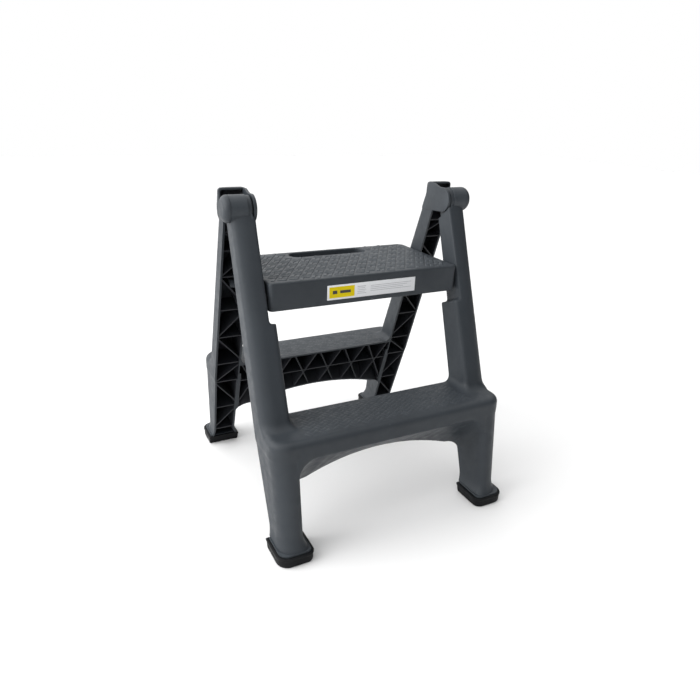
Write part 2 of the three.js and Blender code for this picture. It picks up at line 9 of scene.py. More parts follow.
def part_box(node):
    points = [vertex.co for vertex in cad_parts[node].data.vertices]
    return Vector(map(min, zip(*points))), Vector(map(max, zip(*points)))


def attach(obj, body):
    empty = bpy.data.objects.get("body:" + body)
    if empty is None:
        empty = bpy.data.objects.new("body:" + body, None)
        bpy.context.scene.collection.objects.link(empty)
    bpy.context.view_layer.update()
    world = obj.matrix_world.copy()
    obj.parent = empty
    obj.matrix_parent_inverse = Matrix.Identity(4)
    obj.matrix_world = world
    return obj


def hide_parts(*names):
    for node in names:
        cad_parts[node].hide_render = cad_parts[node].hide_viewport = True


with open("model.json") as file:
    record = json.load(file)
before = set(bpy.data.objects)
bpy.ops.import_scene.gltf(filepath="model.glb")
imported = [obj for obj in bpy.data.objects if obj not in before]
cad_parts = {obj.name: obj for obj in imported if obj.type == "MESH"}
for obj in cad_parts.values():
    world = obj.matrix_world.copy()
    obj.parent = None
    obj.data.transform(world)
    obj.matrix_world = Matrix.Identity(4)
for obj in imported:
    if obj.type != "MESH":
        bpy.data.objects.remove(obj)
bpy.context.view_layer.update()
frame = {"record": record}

MM = 0.001


def span(node, axis):
    """Where a CAD node starts and ends along an axis, in millimetres."""
    low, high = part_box(node)
    return (round(low[axis] / MM, 2), round(high[axis] / MM, 2))


def centre_of(node, axis):
    """The middle of a CAD node along an axis, in millimetres."""
    return sum(span(node, axis)) / 2


JOINTS = {joint["name"]: joint for joint in frame["record"]["behaviour"]["joints"]}

# Walls, gaps and ribs everywhere, and the open side of both frames
WALL = 4
FIT_GAP = 0.3
SWING_GAP = 1.2
RIB_HALF = 1.3
RIB_SETBACK = 1.5
OUTER_X = 245
HINGE_Y, HINGE_Z = [round(c / MM, 2) for c in JOINTS["frame_fold"]["pos_m"][1:]]
OPEN_EDGE_Y = 2
OPEN_EDGE_SLOPE = 0.342
TILT = math.atan(OPEN_EDGE_SLOPE)
PAST_OPEN = 14
HOLLOW_PAST_OPEN = 24

# Rails
RAIL_TOP_Z = 586
RAIL_FACE_Y = 41.5
RAIL_FACE_SLOPE = 0.388
RAIL_CORNER_X = 29
RAIL_INNER_BACK_X = 187.5
RAIL_INNER_FRONT_X = 191
RAIL_FILLET = 14
LEDGE_BACK_Z = 386
LEDGE_SLOPE = 0.42
RECESS_BACK_X = 202
RECESS_FRONT_X = 205.5

# Lower step and legs
STEP_TOP_Z = 228
STEP_FACE_Y = 235
NOSE_Z = 194
STEP_CORNER = 32
STEP_EDGE = 12
LEG_FACE_SLOPE = 0.136
LEG_TAPER = 0.03
LEG_INNER_FRONT_X = 196
LEG_INNER_BACK_X = 190
ARCH_CROWN_Z = 133
ARCH_DROP = 25
ARCH_HALF_X = 160
ARCH_ROUND_Z = 24
NOSE_HALF_X = 162
NOSE_ROUND_Z = 34
ARCH_END_X = LEG_INNER_BACK_X + 4
NOSE_END_X = LEG_INNER_FRONT_X + 4

# Rubber boots
BOOT_HEIGHT = 20
BOOT_WALL = 4
BOOT_X = span("rear_boot_right", 0)
BOOT_Y = (192, span("rear_boot_right", 1)[1])

# Hinge: knuckles and caps on the front frame, ears on the rear one
KNUCKLE_RADIUS = 24
KNUCKLE_X = (215.4, 246)
COLLAR_RADIUS = 22.5
COLLAR_START_X = 208.5
CAP_END_X = span("hinge_cap_right", 0)[1]
CAP_ROUND = 11
SPIGOT_RADIUS = 10
SPIGOT_DEPTH = 6
EAR_X = (200.3, 205.3)
PIN_RADIUS = 6
FOLD_ANGLE = math.radians(-JOINTS["frame_fold"]["range_deg"][0])

# Housings behind the hinge, on the rear frame
BRACKET_OUTER_X = span("rear_frame", 0)[1]
BRACKET_FRONT_Y = 17
BRACKET_BACK_Y = 34
BRACKET_TOP_Z = span("rear_frame", 2)[1]
BRACKET_FOOT_Z = 562

# Platform, its pivots and the pins it rests on
PLATFORM_BOTTOM_Z, PLATFORM_TOP_Z = span("top_platform", 2)
PLATFORM_HALF_X = span("top_platform", 0)[1]
PLATFORM_Y = span("top_platform", 1)
PLATFORM_PIVOT = tuple(round(c / MM, 2) for c in JOINTS["platform_fold"]["pos_m"][1:])
REST_PIN = (centre_of("rest_pin_right", 1), centre_of("rest_pin_right", 2))
SIDE_PIN_RADIUS = 5
SLOT_HALF_X = 87
SLOT_Y = (72, 109)

# Material slots of every solid that goes into a moulding: the plain plastic, and a darker copy of it that
# paints shade on hollows and ribs
OUTER_LOOK = 0
PAINTED_SHADE_LOOK = 1


# ---- Meshes and solids ----

def object_from(name, bm):
    mesh = bpy.data.meshes.new(name)
    bm.to_mesh(mesh)
    bm.free()
    obj = bpy.data.objects.new(name, mesh)
    bpy.context.scene.collection.objects.link(obj)
    return obj


def paint(obj, slot_index):
    """Gives a solid the frame's two materials, the plain plastic and a darker copy that paints shade, and
    shows one of them, so that booleans carry it over.
    """
    obj.data.materials.clear()
    for material in (PLASTIC, SHADED_PLASTIC):
        obj.data.materials.append(material)
    obj.data.polygons.foreach_set("material_index", [slot_index] * len(obj.data.polygons))
    return obj


def solid(vertices, faces):
    """A closed mesh from corners in millimetres, with its faces turned outwards."""
    bm = bmesh.new()
    made = [bm.verts.new([c * MM for c in v]) for v in vertices]
    for face in faces:
        bm.faces.new([made[i] for i in face])
    bmesh.ops.recalc_face_normals(bm, faces=bm.faces)
    return paint(object_from("part", bm), OUTER_LOOK)


def loft(rings):
    """A closed skin through rings of equal length."""
    count = len(rings[0])
    faces = []
    for r in range(len(rings) - 1):
        for i in range(count):
            a, b = r * count + i, r * count + (i + 1) % count
            faces.append((a, b, b + count, a + count))
    faces.append(tuple(range(count)))
    faces.append(tuple(range((len(rings) - 1) * count, len(rings) * count)))
    return solid([p for ring in rings for p in ring], faces)


def box(x, y, z):
    """A block from its two places along each axis."""
    return loft([[(x[0], y[0], h), (x[1], y[0], h), (x[1], y[1], h), (x[0], y[1], h)] for h in z])


def extrude_x(outline, x):
    """An outline in Y and Z, pushed out along X."""
    return loft([[(h, y, z) for y, z in outline] for h in x])


def circle(centre, radius, sides=64, start=0.0, turn=2 * math.pi):
    """Points round a circle, or round part of one with both its ends."""
    steps = sides if turn >= 2 * math.pi else sides + 1
    angles = [start + turn * i / sides for i in range(steps)]
    return [(centre[0] + radius * math.cos(a), centre[1] + radius * math.sin(a)) for a in angles]


def rod_x(radius, x, centre, sides=64):
    return extrude_x(circle(centre, radius, sides), x)


def lathe_x(profile, centre, sides=72):
    """A closed solid turned about an axis along X, from (radius, x) points with no point on the axis."""
    return loft([[(x, y, z) for y, z in circle(centre, radius, sides)] for radius, x in profile])


def apply_modifiers(obj):
    graph = bpy.context.evaluated_depsgraph_get()
    mesh = bpy.data.meshes.new_from_object(obj.evaluated_get(graph))
    obj.modifiers.clear()
    obj.data = mesh
    return obj


def combine(target, tool, operation):
    """Works a solid into the target and removes it."""
    modifier = target.modifiers.new("combine", "BOOLEAN")
    modifier.solver = "MANIFOLD"
    modifier.operation = operation
    modifier.object = tool
    bpy.context.view_layer.update()
    apply_modifiers(target)
    bpy.data.objects.remove(tool)
    return target


def join(target, *tools):
    for tool in tools:
        combine(target, tool, "UNION")
    return target


def cut(target, *tools):
    for tool in tools:
        combine(target, tool, "DIFFERENCE")
    return target


def copied(obj):
    copy = obj.copy()
    copy.data = obj.data.copy()
    bpy.context.scene.collection.objects.link(copy)
    return copy


def flip(obj, axis):
    """Turns obj into its mirror image across the middle plane, its faces still turned outwards."""
    scale = Matrix.Identity(4)
    scale[axis][axis] = -1
    obj.data.transform(scale)
    obj.data.flip_normals()
    return obj


def mirrored(obj, axis):
    return flip(copied(obj), axis)


def pair(obj):
    """A solid joined to its mirror image on the other side."""
    return join(obj, mirrored(obj, 0))


def softened(obj, voxel, smooth_steps):
    """One even skin with its edges rounded over."""
    remesh = obj.modifiers.new("remesh", "REMESH")
    remesh.mode = "VOXEL"
    remesh.voxel_size = voxel * MM
    smooth = obj.modifiers.new("smooth", "SMOOTH")
    smooth.factor = 0.5
    smooth.iterations = smooth_steps
    bpy.context.view_layer.update()
    return apply_modifiers(obj)


def bevelled(obj, width, segments=3):
    bevel = obj.modifiers.new("bevel", "BEVEL")
    bevel.width = width * MM
    bevel.segments = segments
    bevel.limit_method = "ANGLE"
    bevel.angle_limit = math.radians(40)
    bpy.context.view_layer.update()
    return apply_modifiers(obj)


# ---- Frame moulding, drawn with its outside towards +Y ----

def open_edge_y(z):
    """The open side of the moulding, where the two frames face each other."""
    return OPEN_EDGE_Y + OPEN_EDGE_SLOPE * (HINGE_Z - z)


def rail_face_y(z):
    return RAIL_FACE_Y + RAIL_FACE_SLOPE * (HINGE_Z - z)


def leg_face_y(z):
    return STEP_FACE_Y + LEG_FACE_SLOPE * (NOSE_Z - z)


def upright_ring(z, face_y, back_y, inner_back_x, inner_front_x, outer_x, corner, inner_round):
    """Plan outline of an upright: flat open side, elliptical outer corner, round inner corner."""
    ring = [(inner_back_x, back_y, z), (outer_x, back_y, z)]
    quarter = [math.radians(a) for a in range(0, 91, 9)]
    for angle in quarter:
        x = outer_x - corner[0] * (1 - math.cos(angle))
        ring.append((x, face_y - corner[1] * (1 - math.sin(angle)), z))
    for angle in quarter:
        x = inner_front_x + inner_round * (1 - math.sin(angle))
        ring.append((x, face_y - inner_round * (1 - math.cos(angle)), z))
    return ring


def rail_ring(z, inset, open_by, flare=0.0):
    """One level of a rail: inset 0 is its outer skin, and open_by is how far it passes the open edge."""
    corner_y = 12 + 0.03 * (HINGE_Z - z)
    return upright_ring(
        z,
        rail_face_y(z) - inset + flare,
        open_edge_y(z) - open_by,
        RAIL_INNER_BACK_X + inset - flare,
        RAIL_INNER_FRONT_X + inset - flare,
        OUTER_X - inset,
        (RAIL_CORNER_X - inset, corner_y - inset),
        9 - 1.4 * inset,
    )


def leg_ring(z, inset, open_by):
    """One level of a leg, which narrows on its way down and flares just above its boot."""
    rise = max(0.0, 1 - (z - BOOT_HEIGHT) / 26)
    flare = rise * rise
    taper = LEG_TAPER * max(0.0, STEP_TOP_Z - z)
    return upright_ring(
        z,
        leg_face_y(z) + 5 * flare - inset,
        open_edge_y(z) - open_by,
        LEG_INNER_BACK_X - 6 * flare + inset,
        LEG_INNER_FRONT_X - 10 * flare + inset,
        OUTER_X - taper + 5 * flare - inset,
        (STEP_CORNER - inset, STEP_CORNER - inset),
        15 - 1.4 * inset,
    )


def rail_solid(inset, open_by):
    """A rail whose outer skin sweeps out into the step; inside, where inset, it runs straight down."""
    if inset:
        return loft([rail_ring(STEP_TOP_Z - 40, inset, open_by), rail_ring(RAIL_TOP_Z - 3, inset, open_by)])
    rings = [rail_ring(NOSE_Z + 8, 0, open_by, RAIL_FILLET)]
    for angle in [math.radians(a) for a in range(0, 91, 15)]:
        flare = RAIL_FILLET * (1 - math.sin(angle))
        rings.append(rail_ring(STEP_TOP_Z + RAIL_FILLET * (1 - math.cos(angle)), 0, open_by, flare))
    rings.append(rail_ring(RAIL_TOP_Z, 0, open_by))
    return loft(rings)


def leg_solid(inset, open_by):
    low = 12 if inset else BOOT_HEIGHT + FIT_GAP
    high = STEP_TOP_Z - (inset if inset else 20)
    return loft([leg_ring(z, inset, open_by) for z in (low, 24, 28, 33, 39, 46, high)])


def step_ring(z, inset, open_by):
    """Plan outline of the step from one side to the other, with round outer corners."""
    corner = (STEP_CORNER - inset, STEP_CORNER - inset)
    face_y = STEP_FACE_Y - inset
    right = upright_ring(z, face_y, open_edge_y(z) - open_by, 0, 0, OUTER_X - inset, corner, 0)
    half = right[1:13]
    return half + [(-x, y, h) for x, y, h in reversed(half)]


def step_solid(open_by):
    rings = [step_ring(NOSE_Z, 0, open_by)]
    for angle in [math.radians(a) for a in range(0, 91, 15)]:
        inset = STEP_EDGE * (1 - math.cos(angle))
        rings.append(step_ring(STEP_TOP_Z - STEP_EDGE * (1 - math.sin(angle)), inset, open_by))
    return loft(rings)


def corner_drop(x, start, end, depth):
    """How far an edge has turned down at x, as a quarter of an ellipse from start to end."""
    turn = min(1.0, max(0.0, (abs(x) - start) / (end - start)))
    return depth * (1 - math.sqrt(1 - turn * turn))


def arch_z(x, inset):
    """Lowest edge of the step at its open side: a low arch that turns down into the legs."""
    bow = ARCH_DROP * min(1.0, (x / ARCH_HALF_X) ** 2)
    drop = corner_drop(x, ARCH_HALF_X - inset, ARCH_END_X - inset, ARCH_ROUND_Z)
    return ARCH_CROWN_Z - bow - drop + inset


def nose_z(x, inset):
    """Lowest edge of the step's upright face, which turns down into the legs as well."""
    drop = corner_drop(x, NOSE_HALF_X - inset, NOSE_END_X - inset, NOSE_ROUND_Z)
    return NOSE_Z - drop + inset


def section_places(inset, half_x):
    """Where apron sections are taken: evenly along the middle, closer together round both corners."""
    places = [20 * i for i in range(8)]
    for start, end in ((ARCH_HALF_X, ARCH_END_X), (NOSE_HALF_X, NOSE_END_X)):
        for angle in [math.radians(a) for a in range(0, 91, 10)]:
            places.append(start - inset + (end - start) * math.sin(angle))
    places = sorted(x for x in places if x < half_x - 0.5) + [half_x]
    return [x for i, x in enumerate(places) if i == 0 or x - places[i - 1] > 0.2]


def apron_solid(inset, open_by, half_x):
    """Sloping underside between the front face and the arch, as sections across X."""
    half = section_places(inset, half_x)
    top = STEP_TOP_Z - 20 - inset
    rings = []
    for x in [-x for x in reversed(half[1:])] + half:
        low = arch_z(x, inset)
        nose = nose_z(x, inset)
        nose_y = STEP_FACE_Y + LEG_FACE_SLOPE * (NOSE_Z + inset - nose) - inset
        edge_y = open_edge_y(low)
        rings.append([
            (x, edge_y - open_by, low),
            (x, edge_y - min(0, open_by) + 0.1, low),
            (x, nose_y, nose),
            (x, STEP_FACE_Y - inset, top),
            (x, open_edge_y(top) - open_by, top),
        ])
    return loft(rings)


def recess_solid(inset):
    """The rail is thinner beside the platform, above a ledge."""
    level, inner_x, high = 440, 150, 700
    back_y, face_y = open_edge_y(level), rail_face_y(level)
    rings = []
    for y in (-90, 10, 150, 220):
        ledge = LEDGE_BACK_Z + LEDGE_SLOPE * (y - open_edge_y(LEDGE_BACK_Z)) - inset
        reach = max(0.0, min(1.0, (y - back_y) / (face_y - back_y)))
        x = RECESS_BACK_X + (RECESS_FRONT_X - RECESS_BACK_X) * reach + inset
        rings.append([(inner_x, y, ledge), (inner_x, y, high), (x, y, high), (x, y, ledge)])
    return loft(rings)


def behind_open_plane(shift):
    """Everything past the open plane, once that plane is moved into the moulding by shift."""
    ends = []
    for x in (-400, 400):
        near = [(x, open_edge_y(z) + shift, z) for z in (-20, 700)]
        far = [(x, y - 300, z) for x, y, z in reversed(near)]
        ends.append(near + far)
    return loft(ends)


def between_legs():
    """Keeps the hollow and the ribs of the step clear of the legs."""
    return box((-LEG_INNER_BACK_X, LEG_INNER_BACK_X), (-100, 400), (0, 400))


def hollow():
    """Everything hollow inside the moulding, open towards the other frame."""
    past = HOLLOW_PAST_OPEN
    rail = cut(pair(rail_solid(WALL, past)), pair(recess_solid(WALL)))
    step = loft([step_ring(NOSE_Z + 8, WALL, past), step_ring(STEP_TOP_Z - WALL, WALL, past)])
    combine(step, between_legs(), "INTERSECT")
    apron = apron_solid(WALL, past, LEG_INNER_BACK_X - WALL)
    return join(rail, pair(leg_solid(WALL, past)), apron, step)


def rib(x1, down1, x2, down2):
    """A rib square to the open plane, between places given across X and down the plane from the hinge."""
    length = math.hypot(x2 - x1, down2 - down1)
    plate = box((-length / 2, length / 2), (-250, 250), (-RIB_HALF, RIB_HALF))
    turn = Matrix.Rotation(math.atan2(down2 - down1, x2 - x1), 4, "Y")
    lean = Matrix.Rotation(TILT, 4, "X")
    middle = Matrix.Translation(Vector(((x1 + x2) / 2, 0, -(down1 + down2) / 2)) * MM)
    hinge = Matrix.Translation(Vector((0, OPEN_EDGE_Y, HINGE_Z)) * MM)
    plate.data.transform(hinge @ lean @ middle @ turn)
    return plate


def ribs():
    """Rungs and zigzags down each upright, by levels below the hinge, and crosses under the step."""
    inner = RAIL_INNER_BACK_X - 4
    levels = (52, 92, 150, 230, 300, 374, 426, 506, 577)
    plates = []
    for i, down in enumerate(levels):
        plates.append(pair(rib(inner, down, OUTER_X, down)))
        if i + 1 < len(levels):
            start, end = (inner, OUTER_X) if i % 2 else (OUTER_X, inner)
            plates.append(pair(rib(start, down, end, levels[i + 1])))
    top = (HINGE_Z - STEP_TOP_Z) / math.cos(TILT) - 6
    bottom = (HINGE_Z - ARCH_CROWN_Z) / math.cos(TILT) + 24
    middle = (top + bottom) / 2 - 8
    plates.append(rib(-LEG_INNER_BACK_X, middle, LEG_INNER_BACK_X, middle))
    bays = 6
    bay = 2 * LEG_INNER_BACK_X / bays
    for i in range(bays):
        left = -LEG_INNER_BACK_X + i * bay
        plates.append(rib(left, top, left + bay, bottom))
        plates.append(rib(left, bottom, left + bay, top))
    return join(plates[0], *plates[1:])


def lattice(skin):
    """The ribs where they lie inside the moulding and its skin, just below its open edge."""
    reach = WALL - 1
    step = loft([
        step_ring(NOSE_Z + 8, WALL, -RIB_SETBACK),
        step_ring(STEP_TOP_Z - WALL + 1, WALL, -RIB_SETBACK),
    ])
    inside = join(
        cut(pair(rail_solid(reach, -RIB_SETBACK)), pair(recess_solid(reach))),
        pair(leg_solid(reach, -RIB_SETBACK)),
        apron_solid(reach, -RIB_SETBACK, LEG_INNER_BACK_X - reach),
        combine(step, between_legs(), "INTERSECT"),
    )
    return combine(combine(ribs(), inside, "INTERSECT"), copied(skin), "INTERSECT")


def outside(extra):
    """The outer skin, drawn past the open plane and softened, then trimmed to the plane."""
    rails = cut(pair(rail_solid(0, PAST_OPEN)), pair(recess_solid(0)))
    body = join(rails, pair(leg_solid(0, PAST_OPEN)), step_solid(PAST_OPEN))
    join(body, apron_solid(0, PAST_OPEN, LEG_INNER_FRONT_X + 6), *extra)
    paint(softened(body, voxel=2.6, smooth_steps=6), OUTER_LOOK)
    beside_boots = box((-300, 300), (0, 400), (-20, BOOT_HEIGHT + FIT_GAP))
    return cut(body, behind_open_plane(0), beside_boots)


# ---- Materials ----

def new_material(name, colour, roughness, specular=0.5):
    material = bpy.data.materials.new(name)
    material.use_nodes = True
    shader = material.node_tree.nodes["Principled BSDF"]
    shader.inputs["Base Color"].default_value = (*colour, 1)
    shader.inputs["Roughness"].default_value = roughness
    shader.inputs["Specular IOR Level"].default_value = specular
    return material, shader


class Graph:
    """Short ways to add and link nodes in one material."""

    def __init__(self, material):
        self.tree = material.node_tree

    def node(self, kind, **settings):
        made = self.tree.nodes.new(kind)
        for key, value in settings.items():
            setattr(made, key, value)
        return made

    def link(self, output, target):
        self.tree.links.new(output, target)

    def place(self):
        return self.node("ShaderNodeTexCoord").outputs["Object"]

    def noise(self, scale, detail=4.0, stretch=(1, 1, 1)):
        mapping = self.node("ShaderNodeMapping")
        mapping.inputs["Scale"].default_value = stretch
        self.link(self.place(), mapping.inputs["Vector"])
        noise = self.node("ShaderNodeTexNoise")
        noise.inputs["Scale"].default_value = scale
        noise.inputs["Detail"].default_value = detail
        self.link(mapping.outputs["Vector"], noise.inputs["Vector"])
        return noise.outputs["Fac"]

    def ramp(self, value, stops):
        ramp = self.node("ShaderNodeValToRGB")
        elements = ramp.color_ramp.elements
        for element, (position, colour) in zip(elements, (stops[0], stops[-1])):
            element.position = position
            element.color = (*colour, 1)
        for position, colour in stops[1:-1]:
            elements.new(position).color = (*colour, 1)
        self.link(value, ramp.inputs["Fac"])
        return ramp.outputs["Color"]

    def mapped(self, value, low, high, low_out, high_out):
        node = self.node("ShaderNodeMapRange")
        for name, number in zip(("From Min", "From Max", "To Min", "To Max"), (low, high, low_out, high_out)):
            node.inputs[name].default_value = number
        self.link(value, node.inputs["Value"])
        return node.outputs["Result"]

    def mix(self, factor, first, second):
        node = self.node("ShaderNodeMix", data_type="RGBA")
        self.link(factor, node.inputs["Factor"])
        for socket, colour in ((node.inputs["A"], first), (node.inputs["B"], second)):
            if isinstance(colour, tuple):
                socket.default_value = (*colour, 1)
            else:
                self.link(colour, socket)
        return node.outputs["Result"]

    def bump(self, height, strength, distance, below=None):
        node = self.node("ShaderNodeBump")
        node.inputs["Strength"].default_value = strength
        node.inputs["Distance"].default_value = distance
        self.link(height, node.inputs["Height"])
        if below:
            self.link(below, node.inputs["Normal"])
        return node.outputs["Normal"]


def moulded_plastic(name, dark, light, wear):
    """Satin moulded plastic: fine spark grain, faint flow marks, and edges rubbed paler."""
    material, shader = new_material(name, dark, 0.5, 0.3)
    graph = Graph(material)
    body = graph.ramp(graph.noise(9, 3, (1, 1, 0.35)), [(0.35, dark), (0.65, light)])
    flecks = graph.mapped(graph.noise(420, 2), 0.62, 0.72, 0, 0.25)
    speckled = graph.mix(flecks, body, light)
    edges = graph.mapped(graph.node("ShaderNodeNewGeometry").outputs["Pointiness"], 0.53, 0.62, 0, 0.5)
    graph.link(graph.mix(edges, speckled, wear), shader.inputs["Base Color"])
    graph.link(graph.mapped(graph.noise(60, 5), 0.3, 0.7, 0.42, 0.6), shader.inputs["Roughness"])
    ripple = graph.bump(graph.noise(28, 2), 0.12, 0.002)
    graph.link(graph.bump(graph.noise(1500, 2), 0.22, 0.0003, ripple), shader.inputs["Normal"])
    return material


def rubber():
    """Black moulded rubber with dust caught in its grain."""
    material, shader = new_material("boot_rubber", (0.012, 0.013, 0.015), 0.62, 0.12)
    graph = Graph(material)
    dust = graph.mapped(graph.noise(36, 6), 0.5, 0.78, 0, 0.5)
    graph.link(graph.mix(dust, (0.006, 0.0065, 0.0075), (0.016, 0.017, 0.019)), shader.inputs["Base Color"])
    graph.link(graph.mapped(graph.noise(90, 4), 0.3, 0.7, 0.42, 0.7), shader.inputs["Roughness"])
    graph.link(graph.bump(graph.noise(900, 3), 0.3, 0.0004), shader.inputs["Normal"])
    return material


def steel():
    """Bright zinc on drawn bar, brushed round the bar."""
    material, shader = new_material("pin_steel", (0.56, 0.57, 0.58), 0.3)
    shader.inputs["Metallic"].default_value = 1.0
    graph = Graph(material)
    tone = graph.ramp(graph.noise(70, 4), [(0.3, (0.48, 0.49, 0.5)), (0.7, (0.64, 0.65, 0.66))])
    graph.link(tone, shader.inputs["Base Color"])
    drawn = (12, 1, 1)
    graph.link(graph.mapped(graph.noise(300, 3, drawn), 0.3, 0.7, 0.22, 0.42), shader.inputs["Roughness"])
    graph.link(graph.bump(graph.noise(500, 2, drawn), 0.15, 0.0002), shader.inputs["Normal"])
    return material


def nylon():
    """Plain dark nylon, a little mottled and waxy."""
    material, shader = new_material("washer_nylon", (0.03, 0.032, 0.036), 0.4)
    graph = Graph(material)
    tone = graph.ramp(graph.noise(160, 3), [(0.3, (0.024, 0.026, 0.03)), (0.7, (0.042, 0.044, 0.048))])
    graph.link(tone, shader.inputs["Base Color"])
    graph.link(graph.mapped(graph.noise(240, 3), 0.3, 0.7, 0.32, 0.5), shader.inputs["Roughness"])
    graph.link(graph.bump(graph.noise(700, 2), 0.15, 0.0002), shader.inputs["Normal"])
    return material


def film(name, colour, shade):
    """Printed film: nearly even ink with a faint print grain, satin and slightly uneven where it is stuck."""
    material, shader = new_material(name, colour, 0.35, 0.12)
    graph = Graph(material)
    ink = graph.mapped(graph.noise(900, 2), 0.4, 0.7, 0, 1)
    graph.link(graph.mix(ink, colour, shade), shader.inputs["Base Color"])
    graph.link(graph.mapped(graph.noise(120, 3), 0.3, 0.7, 0.28, 0.42), shader.inputs["Roughness"])
    graph.link(graph.bump(graph.noise(55, 2), 0.1, 0.0005), shader.inputs["Normal"])
    return material


PLASTIC = moulded_plastic("frame_plastic", (0.026, 0.031, 0.037), (0.032, 0.038, 0.045),
                          (0.065, 0.075, 0.085))
# The same plastic made darker, to paint the shade that falls inside the hollows and on the ribs
SHADED_PLASTIC = moulded_plastic("frame_painted_shade", (0.014, 0.015, 0.019), (0.018, 0.02, 0.024),
                         (0.03, 0.033, 0.037))
RUBBER = rubber()
STEEL = steel()
NYLON = nylon()
FILM_BASE = film("label_film", (0.72, 0.73, 0.75), (0.66, 0.67, 0.69))
FILM_YELLOW = film("label_yellow", (0.68, 0.53, 0.003), (0.62, 0.48, 0.002))
FILM_INK = film("label_ink", (0.42, 0.43, 0.45), (0.38, 0.39, 0.41))
FILM_DARK = film("label_dark", (0.05, 0.05, 0.045), (0.07, 0.07, 0.06))


def finish_piece(obj, name, body, nodes, material=None, sharp=32):
    """Names a finished piece, shades it, and ties it to its CAD body, nodes and material slot."""
    obj.name = name
    obj.data.name = name
    if material:
        obj.data.materials.clear()
        obj.data.materials.append(material)
    obj.data.shade_smooth()
    obj.data.set_sharp_from_angle(angle=math.radians(sharp))
    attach(obj, body)
    if nodes:
        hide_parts(*nodes)
    return obj


# ---- Hinge shapes ----

def turned(points, angle):
    """Points in Y and Z turned about the hinge."""
    c, s = math.cos(angle), math.sin(angle)
    moved = []
    for y, z in points:
        dy, dz = y - HINGE_Y, z - HINGE_Z
        moved.append((HINGE_Y + dy * c - dz * s, HINGE_Z + dy * s + dz * c))
    return moved


def ear_arm_outline(grow=0.0):
    """Arm from under the hinge to the bracket's back, up it, and forward along the top to the disc."""
    return [
        (HINGE_Y, HINGE_Z - KNUCKLE_RADIUS - grow),
        (OPEN_EDGE_Y + 9, HINGE_Z - KNUCKLE_RADIUS - 2 - grow),
        (BRACKET_BACK_Y + 3, HINGE_Z - 26 - grow),
        (BRACKET_BACK_Y - 1, BRACKET_TOP_Z - 6 + grow),
        (BRACKET_BACK_Y - 2.5, BRACKET_TOP_Z - 2.5 + grow),
        (BRACKET_BACK_Y - 6, BRACKET_TOP_Z - 1 + grow),
        (BRACKET_FRONT_Y - 8, BRACKET_TOP_Z - 1 + grow),
        (HINGE_Y + 14, HINGE_Z + 23.6 + grow),
        (HINGE_Y + 4, HINGE_Z + 23.6 + grow),
    ]


def ear():
    """A disc on the hinge with an arm back into the bracket."""
    disc = rod_x(KNUCKLE_RADIUS, EAR_X, (HINGE_Y, HINGE_Z), 96)
    return bevelled(join(disc, extrude_x(ear_arm_outline(), EAR_X)), width=1.2)


def ear_sweep(grow, x):
    """Room that the ear passes through as the frames fold together."""
    room = rod_x(KNUCKLE_RADIUS + grow, x, (HINGE_Y, HINGE_Z), 96)
    steps = 10
    for i in range(steps + 1):
        outline = turned(ear_arm_outline(grow), -FOLD_ANGLE * i / steps)
        join(room, extrude_x(outline, x))
    return room


def bracket_solid(inset):
    """Housing behind the knuckle. It leans with the rail, then stands up; its outer side swells out."""
    rings = []
    swell_height, swell, top_round = 26, 6, 4
    for step in range(7):
        angle = math.radians(15 * step)
        outer_x = BRACKET_OUTER_X - swell * (1 - math.sin(angle))
        z = BRACKET_FOOT_Z + swell_height * (1 - math.cos(angle))
        rings.append(bracket_ring(z, step / 6, outer_x, inset, 0))
    stands_up_z = HINGE_Z + (RAIL_FACE_Y - BRACKET_BACK_Y) / RAIL_FACE_SLOPE
    bend = 6
    for rise in (-bend, -bend / 2, 0, bend / 2, bend):
        lean = RAIL_FACE_SLOPE * (bend - rise) ** 2 / (4 * bend)
        rings.append(bracket_ring(stands_up_z + rise, 1, BRACKET_OUTER_X, inset, 0, lean))
    for angle in [math.radians(a) for a in range(0, 91, 15)]:
        shrink = top_round * (1 - math.cos(angle))
        z = BRACKET_TOP_Z - inset - top_round * (1 - math.sin(angle))
        rings.append(bracket_ring(z, 1, BRACKET_OUTER_X, inset, shrink))
    return loft(rings)


def bracket_ring(z, turned_by, outer_x, inset, shrink, lean=None):
    """turned_by goes from 0 at the foot to 1 where the swelling ends; lean is how far it still leans back."""
    if lean is None:
        lean = max(0.0, rail_face_y(z) - 0.5 - BRACKET_BACK_Y)
    return upright_ring(
        z,
        BRACKET_BACK_Y + lean - inset - shrink,
        BRACKET_FRONT_Y - 8 * inset,
        RECESS_BACK_X + inset,
        RECESS_BACK_X + inset,
        outer_x - inset - shrink,
        (RAIL_CORNER_X - 15 * turned_by, 12 - 2 * turned_by),
        1,
    )


def side_pin_seat(frame_body, place):
    """Bosses inside both rails, with holes for the pins beside the platform."""
    boss = pair(rod_x(SIDE_PIN_RADIUS * 2, (RECESS_BACK_X + 3, RECESS_BACK_X + 22), place))
    hole = pair(rod_x(SIDE_PIN_RADIUS + FIT_GAP, (RECESS_BACK_X - 5, RECESS_BACK_X + 20), place))
    return cut(join(frame_body, boss), hole)


# ---- Tread pattern: raised bars in a basket weave ----

def bar(centre, angle, length, width, base_z, height):
    """One low bar with sloping sides, sunk a little into the surface."""
    c, s = math.cos(angle), math.sin(angle)
    corners = [(-1, -1), (1, -1), (1, 1), (-1, 1)]
    vertices = []
    for z, shrink in ((base_z - 0.6, 0), (base_z + 0.15, 0), (base_z + height, 0.7)):
        for u, v in corners:
            x, y = u * (length / 2 - shrink), v * (width / 2 - shrink)
            vertices.append((centre[0] + x * c - y * s, centre[1] + x * s + y * c, z))
    faces = [(0, 1, 2, 3), (8, 9, 10, 11)]
    for level in (0, 4):
        for i in range(4):
            j = (i + 1) % 4
            faces.append((level + i, level + j, level + 4 + j, level + 4 + i))
    return vertices, faces


